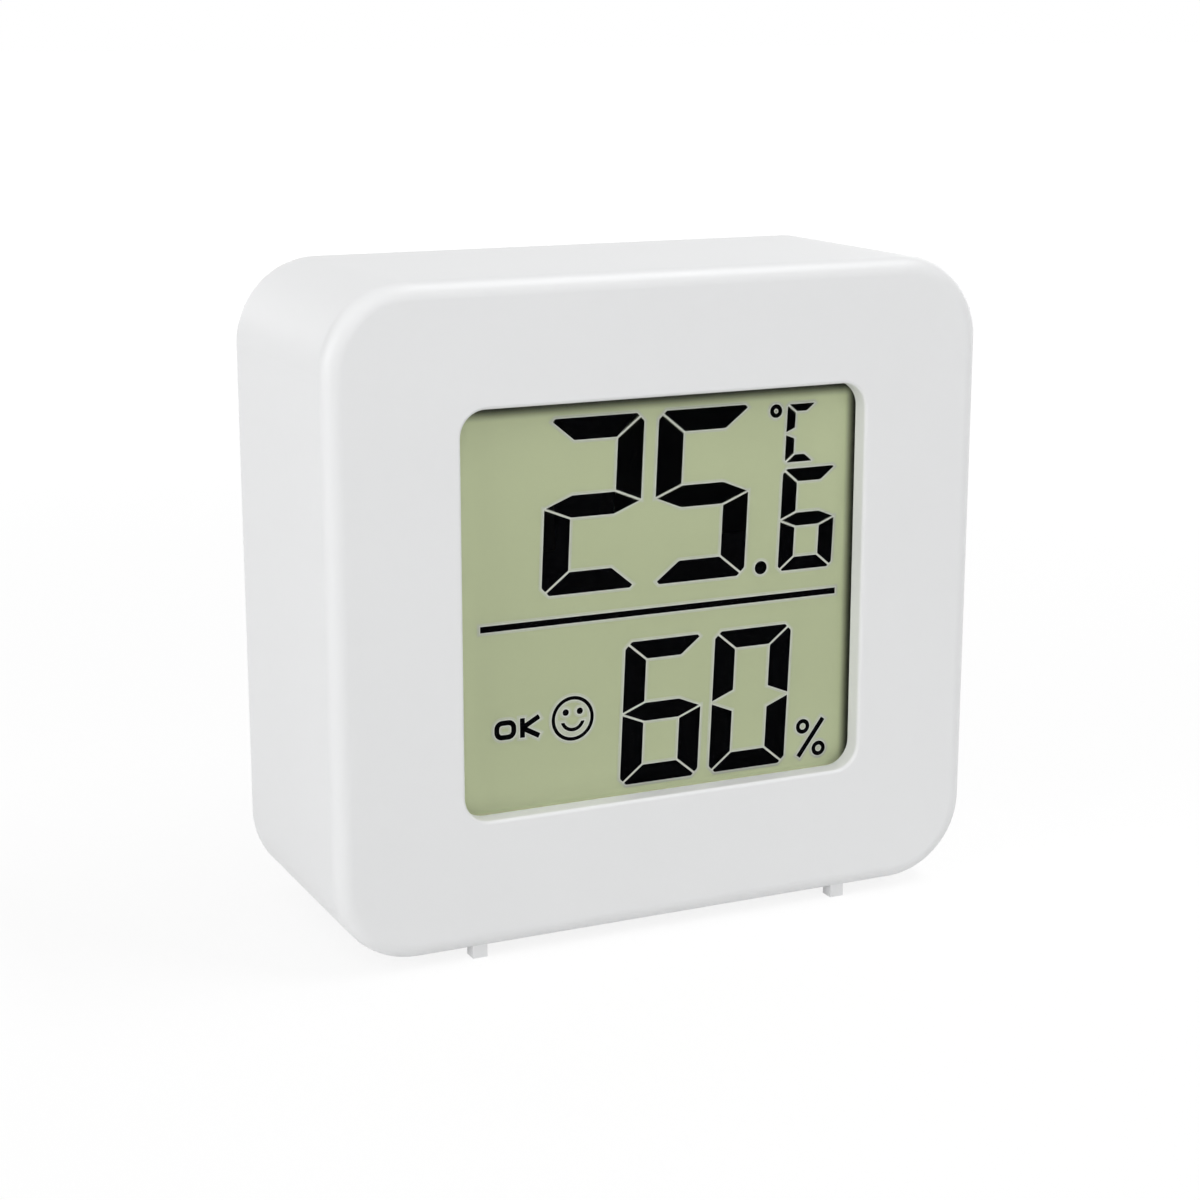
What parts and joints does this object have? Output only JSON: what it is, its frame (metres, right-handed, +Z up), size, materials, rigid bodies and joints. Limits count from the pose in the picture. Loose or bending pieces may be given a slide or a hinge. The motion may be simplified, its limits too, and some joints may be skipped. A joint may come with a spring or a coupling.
{
  "type": "temperature humidity sensor",
  "caption": "Small white desk thermo-hygrometer: rounded shell with a recessed segment display, inset back cover with twist battery door, unit button, vents and wall keyhole.",
  "frame": {"origin": "on the table, under the middle of the body's outline", "axes": "+X to the right of someone reading the display, +Y from the display towards the back cover, +Z up"},
  "size_m": [0.046, 0.018, 0.0437],
  "materials": {
    "case_white": "smooth satin moulding",
    "button_grey": "satin moulding",
    "clear_film": "clear film with a soft gloss",
    "clear_glass": "clear polished glass",
    "segment_black": "dark liquid crystal",
    "seal_grey": "cured epoxy",
    "display_green": "olive field of a reflective display",
    "reflector_foil": "brushed foil",
    "frame_plastic": "natural moulding",
    "zebra_rubber": "layered silicone",
    "board_green": "solder mask",
    "screw_steel": "nickel plated",
    "epoxy_black": "poured epoxy",
    "can_metal": "tinned can",
    "chip_ceramic": "ceramic",
    "sensor_plastic": "moulded cap",
    "bead_epoxy": "dipped epoxy",
    "switch_black": "moulded",
    "cell_steel": "stainless can",
    "contact_metal": "plated spring strip",
    "wire_red": "extruded insulation",
    "wire_black": "extruded insulation"
  },
  "bodies": {
    "housing": {"front_shell": "case_white", "lcd_front_polarizer": "clear_film", "lcd_front_glass": "clear_glass", "lcd_segments": "segment_black", "lcd_edge_seal": "seal_grey", "lcd_rear_glass": "display_green", "lcd_reflector": "reflector_foil", "lcd_frame": "frame_plastic", "zebra_strip": "zebra_rubber", "main_pcb": "board_green", "board_screws": "screw_steel", "controller_chip": "epoxy_black", "crystal": "can_metal", "chip_components": "chip_ceramic", "humidity_sensor": "sensor_plastic", "thermistor": "bead_epoxy", "tact_switch": "switch_black", "back_cover": "case_white", "cover_screws": "screw_steel", "coin_cell": "cell_steel", "battery_contact_positive": "contact_metal", "battery_contact_negative": "contact_metal", "positive_lead": "wire_red", "negative_lead": "wire_black"},
    "door": {"battery_door": "case_white"},
    "button": {"unit_button": "button_grey", "switch_plunger": "switch_black"}
  },
  "joints": [
    {"name": "door_twist", "type": "hinge", "parent": "housing", "child": "door", "pos_m": [0, 0.008, 0.0179], "axis": [0, 1, 0], "range_deg": [0, 30]},
    {"name": "unit_press", "type": "slide", "parent": "housing", "child": "button", "axis": [0, -1, 0], "range_m": [0, 0.0005], "stiffness_N_per_m": 1500}
  ]
}
